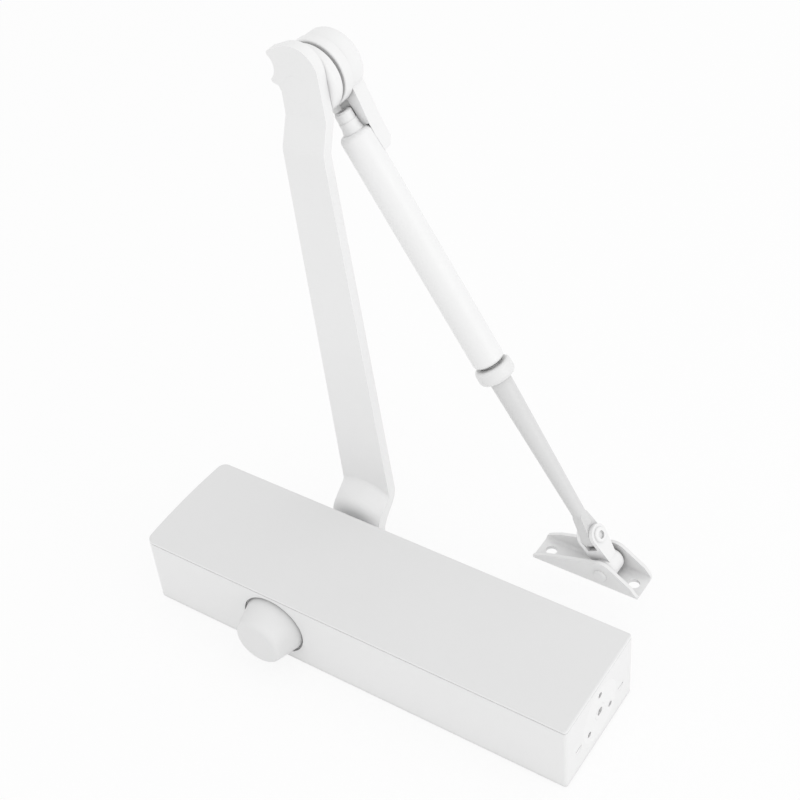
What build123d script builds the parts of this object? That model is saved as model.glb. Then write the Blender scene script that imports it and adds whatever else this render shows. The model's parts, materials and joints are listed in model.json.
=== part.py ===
from build123d import *

import math
import os

# Hydraulic door closer with a rack, a pinion and a two-piece scissor arm, in millimetres.
# The body lies on its back. +X runs along the body towards the valve end, +Y points across it
# towards the side with the arm, and +Z points out of the front cover. The origin is the centre
# of the four mounting holes, on the back face.

# Pinion and rack
MODULE = 1.5
TEETH = 12
PRESSURE_ANGLE = 25.0
TIP_FACTOR = 0.9
ROOT_FACTOR = 1.25
BACKLASH = 0.12
GEAR_WIDTH = 17.0
OPEN_ANGLE = 180.0
JOURNAL_R = 7.5
SQUARE = 10.0
STUB_LENGTH = 5.0

# Clearances
SLIDE_GAP = 0.05
TURN_GAP = 0.06
SEAT_GAP = 0.02
FACE_GAP = 0.1
STACK_GAP = 0.2

# Piston, spring and plugs
RACK_BACK = 3.125
WINDOW_SPARE = 1.7
WINDOW_FLOOR = 3.0
CROWN_LENGTH = 15.5
TAIL_LENGTH = 13.1
REST_GAP = 4.0
SPRING_LENGTH = 104.0
SPRING_WIRE = 4.2
SPRING_PLAY = 1.2
SPRING_TURNS = 14
SPRING_SEAT_LENGTH = 6.0
SEAT_TRAVEL = 7.5
ADJUSTER_R = 4.0
COLLAR_LENGTH = 1.6
COLLAR_R = 6.0
COLLAR_ROOM = 1.4
PLUG_LENGTH = 13.5
PLUG_STEP = 0.95
BLANK_PLUG_INSET = 1.0
HEX_ACROSS = 4.0
HEX_DEPTH = 1.6
SPANNER_HOLE_R = 1.5
SPANNER_CIRCLE_R = 10.9
SPANNER_DEPTH = 1.3
O_RING_D = 1.7
SMALL_O_RING_D = 0.9
BALL_R = 2.8
BALL_PASSAGE_R = 1.6
CAGE_LENGTH = 3.0

# Pinion bearings, seals and retainers
BEARING_LENGTH = 9.0
BEARING_STEP = 0.5
SEAL_LENGTH = 2.2
RETAINER_SUNK = 3.4
RETAINER_STEP = 1.5
RETAINER_PROUD = 1.0
CAP_BOSS_PROUD = 3.0

# Body
BACK_WALL = 4.25
FRONT_WALL = 3.8
RIM_ROUNDING = 0.5
SEAM = 0.45
COVER_THICKNESS = 1.4
COVER_ROUNDING = 1.0
COVER_INSET = 0.6
END_BOW = 1.2
BLANK_CORNER_R = 4.5
VALVE_CORNER_R = 1.5
MOUNT_HOLE_R = 2.75
WELL_R = 5.0
WELL_FLOOR = 8.0
WELL_SIDE_WALL = 3.0
PEG_LENGTH = 10.0
PEG_PLAY = 0.1

# Speed valves
VALVE_R = 2.5
VALVE_LENGTH = 18.0
VALVE_OFFSET_Y = 19.2
VALVE_DROP = 4.0
VALVE_INSET = 0.05
VALVE_SLOT = 0.6
VALVE_SLOT_DEPTH = 0.5
PASSAGE_R = 1.0

# Pinion cap
CAP_WALL = 3.2
CAP_TOP_R = 11.7
CAP_HEIGHT = 14.7
CAP_RECESS = 1.5
CAP_RING_GAP = 0.7
CAP_ROUNDING = 2.6
CAP_TOP_WALL = 2.4

# Main arm
ARM_LENGTH = 231.2
ARM_LEAN = 3.47
ARM_THICKNESS = 5.3
ARM_STANDOFF = 8.0
FOOT_R = 13.0
FOOT_SHOULDER = 9.0
DISH_R = 15.8
DISH_STEP = 11.0
DISH_RUN = 7.7
BLADE_SPARE = 30.0
PLATE_SPARE = 40.0
CRANK_START = 25.2
CRANK_RUN = 13.0
CRANK_STEP = 5.7
BEND_R = 2.5
ARM_LEFT_FOOT = 11.4
ARM_RIGHT_FOOT = 14.8
ARM_BLADE_START = 20.0
ARM_LEFT_ELBOW = 7.7
ARM_RIGHT_TOP = 11.9
LOBE_REACH = 13.4
LOBE_LOW = 1.9
LOBE_HIGH = 14.6
LOBE_ROUNDING = 1.3
NOTCH_DEPTH = 3.9
TOP_CORNER_HEIGHT = 25.0
TOP_CORNER_R = 12.0
SHOULDER_R = 10.0
ELBOW_BEND_R = 2.0
ARM_SCREW_R = 3.0
ARM_SCREW_DEPTH = 14.0
ARM_SCREW_HEAD = 4.0
WASHER_THICKNESS = 1.6
WASHER_PLAY = 0.3

# Elbow
ELBOW_PIN_R = 5.0
ELBOW_PIN_HEAD = 1.0
DISC_R = 15.2
DISC_THICKNESS = 5.6
DISC_ROUNDING = 2.2
RIM_EDGE = 0.4
SPACER_R = 12.5
SPACER_THICKNESS = 1.5
FLANGE_R = 15.4
FLANGE_THICKNESS = 5.2
FLANGE_ROUNDING = 0.8
FLANGE_GROOVE = 0.6
FLANGE_GROOVE_DEPTH = 0.9
HEAD_R = 14.8
HEAD_LENGTH = 15.1
HEAD_ROUNDING = 2.4
PIN_BLIND = 3.5

# Forearm, measured from the elbow along its own axis
FOREARM_ANGLE = 59.12
FOREARM_DEPTH = 3.1
TAIL_RISE = 3.0
NECK_START = 23.0
NECK_LENGTH = 5.0
NECK_R = 4.1
NECK_END_R = 4.8
NECK_FLARE = 2.5
TAIL_PAST_NECK = 13.0
TAIL_CHAMFER = 4.2
TAIL_EDGE = 1.2
TAIL_ROOT_HALF = 9.3
TAIL_END_HALF = 6.3
HEAD_SCREW_R = 2.5
HEAD_SCREW_HEAD_R = 3.9
HEAD_SCREW_HEAD = 4.5
HEAD_SCREW_SOCKET = 2.5
HEAD_SCREW_GRIP = 8.0
TUBE_R = 7.3
TUBE_LENGTH = 117.0
TUBE_TOP_ROUNDING = 2.5
TUBE_END_ROUNDING = 2.0
TUBE_PLUG = 10.0
THREAD_R = 5.0
THREAD_LENGTH = 60.0
NUT_GAP = 1.1
NUT_LENGTH = 7.3
NUT_R = 8.6
NUT_TOP_ROUNDING = 1.8
NUT_ROUNDING = 2.4
ROD_TAPER_LENGTH = 80.1
ROD_TIP_R = 3.1
EYE_DISTANCE = 6.6
EYE_R = 5.2
EYE_THICKNESS = 5.0
TAPER_GAP = 2.5

# Swivel and shoe
RIVET_R = 2.0
RIVET_HEAD_R = 3.6
RIVET_HEAD = 1.2
RIVET_RECESS_R = 1.9
SWIVEL_HALF_WIDTH = 5.2
SWIVEL_TIP_R = 3.2
SWIVEL_TIP_BACK = 3.0
CHEEK = 2.0
SHOE_PIN_DISTANCE = 17.0
BARREL_R = 5.6
BARREL_LENGTH = 12.4
BARREL_ROUNDING = 2.6
SHOE_PIN_R = 2.5
SHOE_PIN_HEAD_R = 3.2
SHOE_PIN_HEAD = 1.0
SHOE_WALL = 1.8
SHOE_SIDE_PLAY = 0.3
SHOE_APEX_R = 7.4
SHOE_FLOOR_CLEARANCE = 0.9
SHOE_LEFT = 36.0
SHOE_RIGHT = 18.9
SHOE_TIP_HEIGHT = 3.0
SHOE_BEND_R = 3.4
SHOE_CORNER_R = 2.0
SHOE_TIP_ROUNDING = 1.4
SHOE_HOLE_SPACING = 43.0
SHOE_HOLE_SHIFT = 0.2
SHOE_HOLE_R = 2.75

# Gear sizes
PITCH_R = MODULE * TEETH / 2
TIP_R = PITCH_R + TIP_FACTOR * MODULE
ROOT_R = PITCH_R - ROOT_FACTOR * MODULE
RACK_CLEAR_R = PITCH_R - TIP_FACTOR * MODULE
BASE_R = PITCH_R * math.cos(math.radians(PRESSURE_ANGLE))
STROKE = PITCH_R * math.radians(OPEN_ANGLE)

# Bore, piston and the stack of pieces along the bore
PISTON_R = PITCH_R + ROOT_FACTOR * MODULE + RACK_BACK
BORE_R = PISTON_R + SLIDE_GAP
COUNTERBORE_R = BORE_R + PLUG_STEP
WINDOW_LENGTH = round(STROKE + 2 * TIP_R + 2 * WINDOW_SPARE, 1)
PISTON_LENGTH = CROWN_LENGTH + WINDOW_LENGTH + TAIL_LENGTH
SEAT_STACK = SPRING_SEAT_LENGTH + COLLAR_ROOM + COLLAR_LENGTH
BODY_LENGTH = 2 * PLUG_LENGTH + REST_GAP + PISTON_LENGTH + SPRING_LENGTH + SEAT_STACK
LEFT = -BODY_LENGTH / 2
RIGHT = BODY_LENGTH / 2
PISTON_LEFT = LEFT + PLUG_LENGTH + REST_GAP
WINDOW_LEFT = PISTON_LEFT + CROWN_LENGTH
WINDOW_RIGHT = WINDOW_LEFT + WINDOW_LENGTH
PISTON_RIGHT = PISTON_LEFT + PISTON_LENGTH
SPRING_RIGHT = PISTON_RIGHT + SPRING_LENGTH
SPRING_SEAT_RIGHT = SPRING_RIGHT + SPRING_SEAT_LENGTH
PINION_X = WINDOW_RIGHT - WINDOW_SPARE - TIP_R

# Depth and width of the body
HOUSING_TOP = BACK_WALL + 2 * BORE_R + FRONT_WALL
COVER_BOTTOM = HOUSING_TOP + SEAM
BORE_Z = BACK_WALL + BORE_R
BEARING_R = TIP_R + 0.15 + BEARING_STEP
RETAINER_R = BEARING_R + RETAINER_STEP
BEARING_IN = PISTON_R + 1.0
SEAL_IN = BEARING_IN + BEARING_LENGTH + STACK_GAP
RETAINER_IN = SEAL_IN + SEAL_LENGTH + STACK_GAP
SIDE = RETAINER_IN + RETAINER_SUNK
MOUNT_X = RIGHT - VALVE_LENGTH - 1.5 - WELL_R
MOUNT_Y = SIDE - WELL_SIDE_WALL - WELL_R
VALVE_Z = BORE_Z - VALVE_DROP
CAP_R = RETAINER_R + CAP_WALL

# Main arm and elbow stack, as distances across the body
FOOT_Y = SIDE + ARM_STANDOFF
ARM_Y = FOOT_Y + DISH_STEP
ELBOW_Y = ARM_Y + CRANK_STEP
DISC_Y = ELBOW_Y + ARM_THICKNESS + FACE_GAP
SPACER_Y = DISC_Y + DISC_THICKNESS + FACE_GAP
HEAD_Y = SPACER_Y + SPACER_THICKNESS + FACE_GAP
HEAD_FAR = HEAD_Y + HEAD_LENGTH
FOREARM_Y = HEAD_Y + FOREARM_DEPTH
ELBOW_X = PINION_X - ARM_LENGTH * math.sin(math.radians(ARM_LEAN))
ELBOW_Z = BORE_Z + ARM_LENGTH * math.cos(math.radians(ARM_LEAN))

DISH_SLOPE = math.atan2(DISH_STEP, DISH_RUN)
WASHER_R = DISH_R - (ARM_THICKNESS + BEND_R) * math.tan(DISH_SLOPE / 2) - WASHER_PLAY

# Forearm stations along its own axis
TUBE_START = NECK_START + NECK_LENGTH
TUBE_END = TUBE_START + TUBE_LENGTH
NUT_START = TUBE_END + NUT_GAP
NUT_END = NUT_START + NUT_LENGTH
TAPER_START = NUT_END + TAPER_GAP
TAPER_END = TAPER_START + ROD_TAPER_LENGTH
RIVET_S = TAPER_END + EYE_DISTANCE
SHOE_S = RIVET_S + SHOE_PIN_DISTANCE
FOREARM_X = math.cos(math.radians(FOREARM_ANGLE))
FOREARM_Z = -math.sin(math.radians(FOREARM_ANGLE))
FOREARM = Plane((ELBOW_X, FOREARM_Y, ELBOW_Z), x_dir=(FOREARM_X, 0, FOREARM_Z), z_dir=(-FOREARM_Z, 0, FOREARM_X))
SHOE_X = ELBOW_X + SHOE_S * FOREARM_X
SHOE_Z = ELBOW_Z + SHOE_S * FOREARM_Z
SHOE_DROP = BARREL_R + SHOE_FLOOR_CLEARANCE + SHOE_WALL


def bar_x(radius, x0, x1, y=0, z=0):
    """A round bar along X."""
    bar = Cylinder(radius, x1 - x0, align=(Align.CENTER, Align.CENTER, Align.MIN))
    return Pos(x0, y, z) * Rot(0, 90, 0) * bar


def bar_y(radius, y0, y1, x=0, z=0):
    """A round bar along Y."""
    bar = Cylinder(radius, y1 - y0, align=(Align.CENTER, Align.CENTER, Align.MIN))
    return Pos(x, y0, z) * Rot(-90, 0, 0) * bar


def bar_z(radius, z0, z1, x=0, y=0):
    """A round bar along Z."""
    return Pos(x, y, z0) * Cylinder(radius, z1 - z0, align=(Align.CENTER, Align.CENTER, Align.MIN))


def block(x0, x1, y0, y1, z0, z1):
    """A box between two values along each axis."""
    return Pos(x0, y0, z0) * Box(x1 - x0, y1 - y0, z1 - z0, align=(Align.MIN, Align.MIN, Align.MIN))


def turned(corners, rounded=()):
    """A turned piece about X, from (along, radius) corners and (corner number, radius) roundings."""
    face = make_face(Polyline(*corners, close=True))
    for number, radius in rounded:
        face = fillet(face.vertices().sort_by_distance((*corners[number], 0))[0], radius)
    return revolve(face, Axis.X)


def about_y(solid):
    """A piece turned about X, stood along Y at the pinion."""
    return Pos(PINION_X, 0, BORE_Z) * Rot(0, 0, 90) * solid


def about_bore(solid):
    """A piece turned about X, lifted to the axis of the bore."""
    return Pos(0, 0, BORE_Z) * solid


def across(face, y0, y1):
    """A face drawn in X and Z, as a plate between two distances across the body."""
    return extrude(Plane.XZ.offset(-y1) * face, y1 - y0)


def ring_along_x(x, middle_r, wire_r, y=0, z=0):
    """A round rubber ring about an axis along X."""
    return Pos(x, y, z) * Rot(0, 90, 0) * Torus(middle_r, wire_r)


def four_corners(x, y):
    """The four places at plus and minus x and y."""
    return [(sx * x, sy * y) for sx in (-1, 1) for sy in (-1, 1)]


# Body


def body_outline(inset=0.0):
    """The body seen from the front: straight sides, one slightly bowed end and rounded corners."""
    left = LEFT + inset
    right = RIGHT - inset
    side = SIDE - inset
    outline = [
        ThreePointArc((left + END_BOW, side), (left, 0), (left + END_BOW, -side)),
        Line((left + END_BOW, -side), (right, -side)),
        Line((right, -side), (right, side)),
        Line((right, side), (left + END_BOW, side)),
    ]
    face = make_face(outline)
    corners = face.vertices().sort_by(Axis.X)
    face = fillet(corners[:2], BLANK_CORNER_R - inset)
    return fillet(face.vertices().sort_by(Axis.X)[-2:], VALVE_CORNER_R - inset)


def valve_cutter(side):
    """One speed valve's hole and the short oil passage from it to the bore."""
    y = side * VALVE_OFFSET_Y
    hole = bar_x(VALVE_R, RIGHT - VALVE_LENGTH, RIGHT + 1, y, VALVE_Z)
    x = RIGHT - PLUG_LENGTH - COLLAR_LENGTH
    passage = bar_y(PASSAGE_R, min(0, y), max(0, y), x, VALVE_Z)
    return hole + passage


def make_housing():
    """The body, with its piston bore, pinion bore, screw wells and valve holes."""
    body = extrude(body_outline(), HOUSING_TOP)
    body = fillet(body.faces().sort_by(Axis.Z)[-1].edges(), RIM_ROUNDING)
    body -= about_bore(bar_x(BORE_R, LEFT - 1, RIGHT + 1))
    for start, end in ((LEFT - 1, LEFT + PLUG_LENGTH), (RIGHT - PLUG_LENGTH, RIGHT + 1)):
        body -= about_bore(bar_x(COUNTERBORE_R, start, end))
    body -= about_y(bar_x(BEARING_R - BEARING_STEP, -SIDE - 1, SIDE + 1))
    for sign in (-1, 1):
        for radius, inner in ((BEARING_R, BEARING_IN), (RETAINER_R, RETAINER_IN)):
            ends = sorted((sign * inner, sign * (SIDE + 1)))
            body -= about_y(bar_x(radius, *ends))
    body -= about_y(bar_x(CAP_R + CAP_RING_GAP, -SIDE - 1, -SIDE + CAP_RECESS))
    for x, y in four_corners(MOUNT_X, MOUNT_Y):
        body -= bar_z(MOUNT_HOLE_R, -1, WELL_FLOOR + 1, x, y)
        body -= bar_z(WELL_R, WELL_FLOOR, HOUSING_TOP + 1, x, y)
    for side in (-1, 1):
        body -= valve_cutter(side)
    return body


def make_front_cover():
    """The thin front plate, its land behind the seam and the pegs that push into the wells."""
    plate = Pos(0, 0, COVER_BOTTOM) * extrude(body_outline(), COVER_THICKNESS)
    plate = fillet(plate.faces().sort_by(Axis.Z)[-1].edges(), COVER_ROUNDING)
    plate += Pos(0, 0, HOUSING_TOP) * extrude(body_outline(COVER_INSET), SEAM)
    for x, y in four_corners(MOUNT_X, MOUNT_Y):
        plate += bar_z(WELL_R - PEG_PLAY, HOUSING_TOP - PEG_LENGTH, COVER_BOTTOM, x, y)
    return plate


# Plugs, spring and piston


def spanner_holes(x0, x1):
    """Three small round holes for a pin spanner."""
    holes = [
        bar_x(
            SPANNER_HOLE_R,
            x0,
            x1,
            SPANNER_CIRCLE_R * math.cos(math.radians(angle)),
            SPANNER_CIRCLE_R * math.sin(math.radians(angle)),
        )
        for angle in (90, 210, 330)
    ]
    return holes


def plug_groove(x):
    """The groove round a plug for its rubber ring."""
    floor = COUNTERBORE_R - O_RING_D - 0.1
    half = O_RING_D / 2 + 0.3
    return turned([(x - half, floor), (x + half, floor), (x + half, COUNTERBORE_R + 1), (x - half, COUNTERBORE_R + 1)])


def make_closed_end_plug():
    """The screwed plug at the end away from the valves."""
    start = LEFT + BLANK_PLUG_INSET
    end = LEFT + PLUG_LENGTH
    plug = bar_x(COUNTERBORE_R - SEAT_GAP, start, end)
    plug -= plug_groove(end - PLUG_LENGTH / 3)
    plug -= spanner_holes(start - 1, start + SPANNER_DEPTH)
    return about_bore(plug)


def make_valve_end_plug():
    """The screwed plug at the valve end, with the adjuster's hole through it."""
    start = RIGHT - PLUG_LENGTH
    plug = bar_x(COUNTERBORE_R - SEAT_GAP, start, RIGHT)
    plug -= bar_x(ADJUSTER_R + TURN_GAP, start - 1, RIGHT + 1)
    plug -= plug_groove(start + PLUG_LENGTH / 3)
    plug -= spanner_holes(RIGHT - SPANNER_DEPTH, RIGHT + 1)
    return about_bore(plug)


def make_plug_o_rings():
    """The rubber rings in the grooves of the two plugs."""
    middle = COUNTERBORE_R - O_RING_D / 2 - SLIDE_GAP
    places = (LEFT + PLUG_LENGTH * 2 / 3, RIGHT - PLUG_LENGTH * 2 / 3)
    return [about_bore(ring_along_x(x, middle, O_RING_D / 2)) for x in places]


def make_spring_adjuster():
    """The adjusting screw: a hexagon socket, a collar behind the plug and the thread in the seat."""
    plug_inner = RIGHT - PLUG_LENGTH
    tip = SPRING_RIGHT - SEAT_TRAVEL - 2.5
    screw = bar_x(ADJUSTER_R, tip, RIGHT)
    screw += bar_x(COLLAR_R, plug_inner - COLLAR_LENGTH, plug_inner - SLIDE_GAP)
    groove_x = plug_inner + PLUG_LENGTH * 0.6
    half = SMALL_O_RING_D / 2 + 0.15
    floor = ADJUSTER_R - SMALL_O_RING_D - 0.05
    screw -= bar_x(ADJUSTER_R + 1, groove_x - half, groove_x + half) - bar_x(floor, groove_x - half, groove_x + half)
    socket = RegularPolygon(HEX_ACROSS / 2, 6, major_radius=False)
    screw -= extrude(Plane.YZ.offset(RIGHT - HEX_DEPTH) * socket, HEX_DEPTH + 1)
    return about_bore(screw)


def make_adjuster_o_ring():
    """The rubber ring on the adjuster, inside the plug."""
    x = RIGHT - PLUG_LENGTH * 0.4
    return about_bore(ring_along_x(x, ADJUSTER_R - SMALL_O_RING_D / 2, SMALL_O_RING_D / 2))


def make_spring_seat():
    """The disc that the adjuster screws towards the spring."""
    seat = bar_x(BORE_R - 0.25, SPRING_RIGHT, SPRING_SEAT_RIGHT)
    seat -= bar_x(ADJUSTER_R + SLIDE_GAP, SPRING_RIGHT - 1, SPRING_SEAT_RIGHT + 1)
    return about_bore(seat)


def make_closing_spring():
    """The coil spring between the piston and its seat."""
    middle_r = BORE_R - SPRING_PLAY - SPRING_WIRE / 2
    height = SPRING_LENGTH - SPRING_WIRE
    path = Helix(height / SPRING_TURNS, height, middle_r)
    section = Plane(path @ 0, z_dir=path % 0) * Circle(SPRING_WIRE / 2)
    coil = sweep(section, path, is_frenet=True)
    return about_bore(Pos(PISTON_RIGHT + SPRING_WIRE / 2, 0, 0) * Rot(0, 90, 0) * coil)


def rack_space(x):
    """The gap between two teeth of the rack, as a face in X and Z, tapered to its root."""
    slope = math.tan(math.radians(PRESSURE_ANGLE))
    pitch_half = math.pi * MODULE / 4 + BACKLASH / 2
    tip_z = BORE_Z + RACK_CLEAR_R
    root_z = BORE_Z + PITCH_R + ROOT_FACTOR * MODULE
    wide = pitch_half + (TIP_FACTOR * MODULE + 1) * slope
    narrow = pitch_half - ROOT_FACTOR * MODULE * slope
    return make_face(Polyline(
        (x - wide, tip_z - 1),
        (x + wide, tip_z - 1),
        (x + narrow, root_z),
        (x - narrow, root_z),
        close=True,
    ))


def make_piston():
    """The piston: a crown with the check valve, a window for the pinion and a rack above it."""
    piston = about_bore(bar_x(PISTON_R, PISTON_LEFT, PISTON_RIGHT))
    window_floor = BORE_Z - PISTON_R + WINDOW_FLOOR
    rack_tip = BORE_Z + RACK_CLEAR_R
    piston -= block(WINDOW_LEFT, WINDOW_RIGHT, -PISTON_R - 1, PISTON_R + 1, window_floor, rack_tip)
    pitch = math.pi * MODULE
    travelled = math.ceil(STROKE / pitch)
    for number in range(-travelled - 2, 3):
        piston -= across(rack_space(PINION_X + number * pitch), -PISTON_R - 1, PISTON_R + 1)
    chamber_right = PISTON_LEFT + CROWN_LENGTH * 0.65
    piston -= about_bore(bar_x(BALL_R + 0.4, PISTON_LEFT - 1, chamber_right))
    piston -= about_bore(bar_x(BALL_PASSAGE_R, PISTON_LEFT, WINDOW_LEFT + 1))
    return piston


def make_check_valve_ball():
    """The steel ball that closes the passage through the crown."""
    chamber_right = PISTON_LEFT + CROWN_LENGTH * 0.65
    reach = math.sqrt(BALL_R**2 - BALL_PASSAGE_R**2)
    return about_bore(Pos(chamber_right - reach - SLIDE_GAP, 0, 0) * Sphere(BALL_R))


def make_check_valve_cage():
    """The ring that keeps the ball in the crown and lets the oil past."""
    cage = bar_x(BALL_R + 0.4 - SEAT_GAP, PISTON_LEFT, PISTON_LEFT + CAGE_LENGTH)
    cage -= bar_x(BALL_PASSAGE_R, PISTON_LEFT - 1, PISTON_LEFT + CAGE_LENGTH + 1)
    return about_bore(cage)


# Speed valves


def make_valve(side):
    """A speed valve: a slotted screw with a ring groove and a tapered tip."""
    inner = RIGHT - VALVE_LENGTH
    outer = RIGHT - VALVE_INSET
    radius = VALVE_R - SEAT_GAP
    floor = VALVE_R - SMALL_O_RING_D - 0.1
    groove = RIGHT - VALVE_LENGTH / 3
    half = SMALL_O_RING_D / 2 + 0.15
    screw = turned([
        (inner + 0.5, 0),
        (outer, 0),
        (outer, radius),
        (groove + half, radius),
        (groove + half, floor),
        (groove - half, floor),
        (groove - half, radius),
        (inner + 6.0, radius),
        (inner + 0.5, 0.5),
    ])
    screw -= block(outer - VALVE_SLOT_DEPTH, RIGHT, -VALVE_R, VALVE_R, -VALVE_SLOT / 2, VALVE_SLOT / 2)
    return Pos(0, side * VALVE_OFFSET_Y, VALVE_Z) * screw


def make_valve_o_ring(side):
    """The rubber ring on a speed valve."""
    x = RIGHT - VALVE_LENGTH / 3
    middle = VALVE_R - SMALL_O_RING_D / 2 - SLIDE_GAP
    return ring_along_x(x, middle, SMALL_O_RING_D / 2, side * VALVE_OFFSET_Y, VALVE_Z)


# Pinion and what carries it


def tooth_face():
    """One involute tooth about the local vertical, reaching into the root circle."""
    pitch_half = math.pi / (2 * TEETH)
    pressure = math.radians(PRESSURE_ANGLE)
    pitch_roll = math.tan(pressure) - pressure

    def flank(radius, side):
        angle = math.acos(min(1.0, BASE_R / radius))
        half = pitch_half + pitch_roll - (math.tan(angle) - angle)
        return (side * radius * math.sin(half), radius * math.cos(half))

    inside = ROOT_R - 0.5
    middle = (BASE_R + TIP_R) / 2
    base_half = pitch_half + pitch_roll
    foot = [(side * inside * math.sin(base_half), inside * math.cos(base_half)) for side in (-1, 1)]
    return make_face([
        Line(foot[0], flank(BASE_R, -1)),
        ThreePointArc(flank(BASE_R, -1), flank(middle, -1), flank(TIP_R, -1)),
        ThreePointArc(flank(TIP_R, -1), (0, TIP_R), flank(TIP_R, 1)),
        ThreePointArc(flank(TIP_R, 1), flank(middle, 1), flank(BASE_R, 1)),
        Line(flank(BASE_R, 1), foot[1]),
        Line(foot[1], foot[0]),
    ])


def make_pinion():
    """The toothed shaft, with a square end for the arm and a square stub under the cap."""
    gear = Circle(ROOT_R) + [Rot(0, 0, 360 / TEETH * number) * tooth_face() for number in range(TEETH)]
    pinion = across(Pos(PINION_X, BORE_Z) * gear, -GEAR_WIDTH / 2, GEAR_WIDTH / 2)
    collar_in = math.sqrt(PISTON_R**2 - RACK_CLEAR_R**2) + STACK_GAP
    collar_out = BEARING_IN - STACK_GAP
    stub_start = SIDE + RETAINER_PROUD
    stub_end = stub_start + CAP_BOSS_PROUD + STUB_LENGTH - 1
    square_end = FOOT_Y + ARM_THICKNESS - 0.4
    pinion += about_y(bar_x(RACK_CLEAR_R - STACK_GAP, -collar_in, collar_in))
    for start, end in ((-collar_out, -collar_in), (collar_in, collar_out)):
        pinion += about_y(bar_x(PITCH_R, start, end))
    for start, end in ((-stub_start, -collar_out), (collar_out, FOOT_Y)):
        pinion += about_y(bar_x(JOURNAL_R, start, end))
    square = Pos(PINION_X, BORE_Z) * Rot(0, 0, ARM_LEAN) * Rectangle(SQUARE, SQUARE)
    pinion += across(square, -stub_end, -stub_start)
    pinion += across(square, FOOT_Y, square_end)
    pinion -= about_y(bar_x(ARM_SCREW_R + SEAT_GAP, square_end - ARM_SCREW_DEPTH, square_end + 1))
    return pinion


def make_collar(inner_r, outer_r, start, length, side):
    """A plain ring round the pinion's journal."""
    ends = sorted((side * start, side * (start + length)))
    return about_y(bar_x(outer_r, *ends) - bar_x(inner_r, ends[0] - 1, ends[1] + 1))


def make_bearing(side):
    """A plain bearing for the pinion, against the step in the side bore."""
    return make_collar(JOURNAL_R + TURN_GAP, BEARING_R - SEAT_GAP, BEARING_IN, BEARING_LENGTH, side)


def make_seal(side):
    """A rubber seal outside a bearing."""
    return make_collar(JOURNAL_R + TURN_GAP, BEARING_R - SEAT_GAP, SEAL_IN, SEAL_LENGTH, side)


def make_retainer(side, proud):
    """The screwed ring that holds bearing and seal in, with two spanner holes."""
    length = RETAINER_SUNK + proud
    ring = make_collar(JOURNAL_R + SLIDE_GAP * 2, RETAINER_R - SEAT_GAP, RETAINER_IN, length, side)
    middle = (JOURNAL_R + RETAINER_R) / 2
    ends = sorted((side * (SIDE + proud - 2.0), side * (SIDE + proud + 1.0)))
    for offset in (-middle, middle):
        ring -= bar_y(1.0, *ends, PINION_X + offset, BORE_Z)
    return ring


def make_pinion_cap():
    """The hollow cone pushed over the retainer on the near side."""
    base = SIDE - CAP_RECESS
    top = base + CAP_HEIGHT
    grip_r = RETAINER_R + FACE_GAP
    step = SIDE + CAP_BOSS_PROUD + STACK_GAP
    room_r = grip_r - 2.8
    cap = turned([
        (base, grip_r),
        (base, CAP_R),
        (top, CAP_TOP_R),
        (top, 0),
        (top - CAP_TOP_WALL, 0),
        (top - CAP_TOP_WALL, room_r),
        (step, room_r),
        (step, grip_r),
    ], [(2, CAP_ROUNDING)])
    return Pos(PINION_X, 0, BORE_Z) * Rot(0, 0, -90) * cap


# Main arm


def bent_plate(corners):
    """The section of a plate bent away and back again, from the four corners of its near face."""
    path = FilletPolyline(*corners, radius=(BEND_R + ARM_THICKNESS, BEND_R))
    return make_face(path.offset_2d(ARM_THICKNESS, side=Side.RIGHT))


def arm_outline():
    """The main arm seen along the pinion: a round foot, tapering edges and a notched end."""
    top = ARM_LENGTH
    low_lobe = (-LOBE_REACH, top + LOBE_LOW)
    high_lobe = (-LOBE_REACH, top + LOBE_HIGH)
    notch = (-LOBE_REACH + NOTCH_DEPTH, top + (LOBE_LOW + LOBE_HIGH) / 2)
    corner = (ARM_RIGHT_TOP, top + TOP_CORNER_HEIGHT)
    shoulder = (-ARM_LEFT_FOOT, ARM_BLADE_START)
    strip = make_face([
        Line((-FOOT_R, 0), (-FOOT_R, FOOT_SHOULDER)),
        Line((-FOOT_R, FOOT_SHOULDER), shoulder),
        Line(shoulder, (-ARM_LEFT_ELBOW, top)),
        Line((-ARM_LEFT_ELBOW, top), low_lobe),
        ThreePointArc(low_lobe, notch, high_lobe),
        Line(high_lobe, corner),
        Line(corner, (ARM_RIGHT_FOOT, ARM_BLADE_START)),
        Line((ARM_RIGHT_FOOT, ARM_BLADE_START), (FOOT_R, 0)),
        Line((FOOT_R, 0), (-FOOT_R, 0)),
    ])
    roundings = (
        (corner, TOP_CORNER_R),
        ((-ARM_LEFT_ELBOW, top), ELBOW_BEND_R),
        (low_lobe, LOBE_ROUNDING),
        (high_lobe, LOBE_ROUNDING),
        (shoulder, SHOULDER_R),
    )
    for place, radius in roundings:
        strip = fillet(strip.vertices().sort_by_distance((*place, 0))[0], radius)
    return strip + Circle(FOOT_R)


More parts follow.
